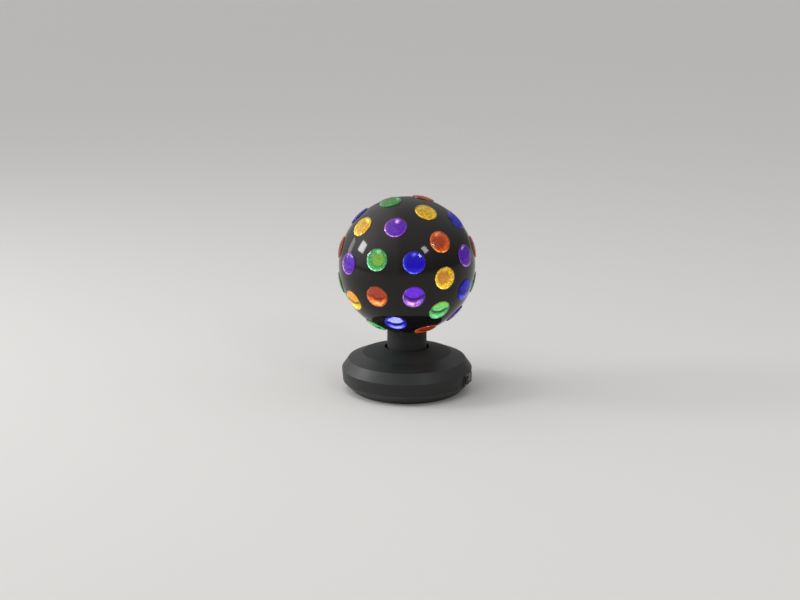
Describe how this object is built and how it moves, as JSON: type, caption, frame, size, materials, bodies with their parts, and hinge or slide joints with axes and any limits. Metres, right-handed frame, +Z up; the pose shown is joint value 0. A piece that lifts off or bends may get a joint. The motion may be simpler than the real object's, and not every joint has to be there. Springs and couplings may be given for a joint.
{
  "type": "rotating motion lamp",
  "caption": "Ball-shaped party lamp set with coloured lenses that turns on a round, faceted base with a rocker switch and a low-voltage inlet.",
  "frame": {"origin": "middle of the feet on the floor, on the axis that the ball turns about", "axes": "+Z up along that axis, -Y to the front, +Y to the power inlet, the switch on the +X side"},
  "size_m": [0.2034, 0.2034, 0.2895],
  "materials": {
    "ball_black": "gloss",
    "lens_amber": "clear coloured, lit from inside",
    "lens_red": "clear coloured, lit from inside",
    "lens_green": "clear coloured, lit from inside",
    "lens_blue": "clear coloured, lit from inside",
    "lens_violet": "clear coloured, lit from inside",
    "base_black": "satin",
    "plate_nylon": "matt",
    "gear_nylon": "matt",
    "bush_bronze": "oiled",
    "foot_rubber": "matt",
    "cast_alloy": "as cast",
    "steel": "drawn",
    "screw_steel": "blackened",
    "alloy": "extruded",
    "board_white": "lacquered",
    "chip_yellow": "soft gloss",
    "wire_black": "soft",
    "board_green": "lacquered",
    "part_black": "matt",
    "brass": "plated",
    "switch_black": "satin"
  },
  "bodies": {
    "ball": {"ball_shell_front": "ball_black", "ball_shell_rear": "ball_black", "lens_amber": "lens_amber", "lens_red": "lens_red", "lens_green": "lens_green", "lens_blue": "lens_blue", "lens_violet": "lens_violet", "shell_screws": "screw_steel", "neck_hub": "base_black", "bearing_plate": "plate_nylon", "plate_screws": "screw_steel", "drive_gear": "gear_nylon", "gear_screws": "screw_steel", "lower_bush": "bush_bronze", "upper_bush": "bush_bronze"},
    "pinion": {"pinion": "gear_nylon", "motor_shaft": "steel"},
    "rocker": {"rocker": "switch_black"},
    "base": {"base_housing": "base_black", "base_tray": "base_black", "base_screws": "screw_steel", "rubber_feet": "foot_rubber", "spindle_foot": "cast_alloy", "spindle": "steel", "spindle_screws": "screw_steel", "thrust_washer": "bush_bronze", "retaining_ring": "steel", "light_core": "alloy", "light_boards": "board_white", "light_chips": "chip_yellow", "lamp_wires": "wire_black", "motor": "steel", "motor_bracket": "steel", "motor_screws": "screw_steel", "bracket_screws": "screw_steel", "motor_wires": "wire_black", "control_board": "board_green", "board_parts": "part_black", "board_screws": "screw_steel", "power_inlet": "part_black", "inlet_pin": "brass", "inlet_nut": "steel", "inlet_wires": "wire_black", "switch_body": "switch_black", "rocker_pin": "steel", "switch_blades": "brass", "switch_wires": "wire_black"}
  },
  "joints": [
    {"name": "ball_spin", "type": "hinge", "parent": "base", "child": "ball", "pos_m": [0, 0, 0.12], "axis": [0, 0, 1], "continuous": true},
    {"name": "pinion_spin", "type": "hinge", "parent": "base", "child": "pinion", "pos_m": [-0.0451, 0, 0.037], "axis": [0, 0, 1], "continuous": true},
    {"name": "rocker_tilt", "type": "hinge", "parent": "base", "child": "rocker", "pos_m": [0.08779, -0.0337, 0.0241], "axis": [0, 0, 1], "range_deg": [-18, 0]}
  ],
  "couplings": [
    {"joint": "pinion_spin", "follows": "ball_spin", "ratio": -4}
  ]
}
